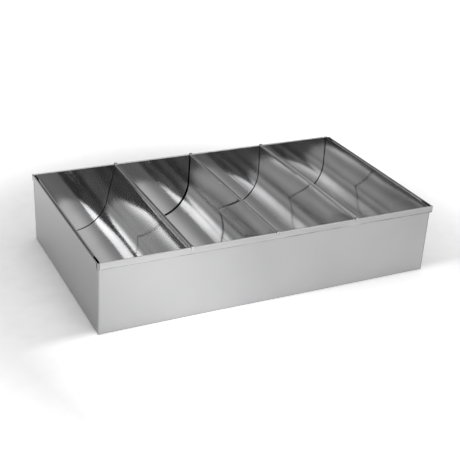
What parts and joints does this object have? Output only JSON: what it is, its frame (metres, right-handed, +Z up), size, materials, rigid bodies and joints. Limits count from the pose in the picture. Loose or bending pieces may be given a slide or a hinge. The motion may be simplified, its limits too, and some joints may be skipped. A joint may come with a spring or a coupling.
{
  "type": "baguette tray",
  "caption": "Open rectangular stainless steel tray with folded rims and side-by-side U-shaped troughs running front to back, divided by narrow capped edges.",
  "frame": {"origin": "under the middle of the tray, on the surface that it stands on", "axes": "+X along the long side to the right, +Y from the front wall to the back wall, along the troughs, +Z up"},
  "size_m": [0.52, 0.3014, 0.1083],
  "materials": {
    "casing_steel": "satin stainless steel with fine grain along the walls",
    "polished_steel": "bright polished stainless steel, faintly wavy and finely scratched",
    "cap_steel": "bright satin stainless steel with rubbed edges"
  },
  "bodies": {
    "root": {"front_left_casing": "casing_steel", "back_right_casing": "casing_steel", "trough_1": "polished_steel", "trough_2": "polished_steel", "trough_3": "polished_steel", "trough_4": "polished_steel", "divider_cap_1": "cap_steel", "divider_cap_2": "cap_steel", "divider_cap_3": "cap_steel"}
  },
  "joints": []
}
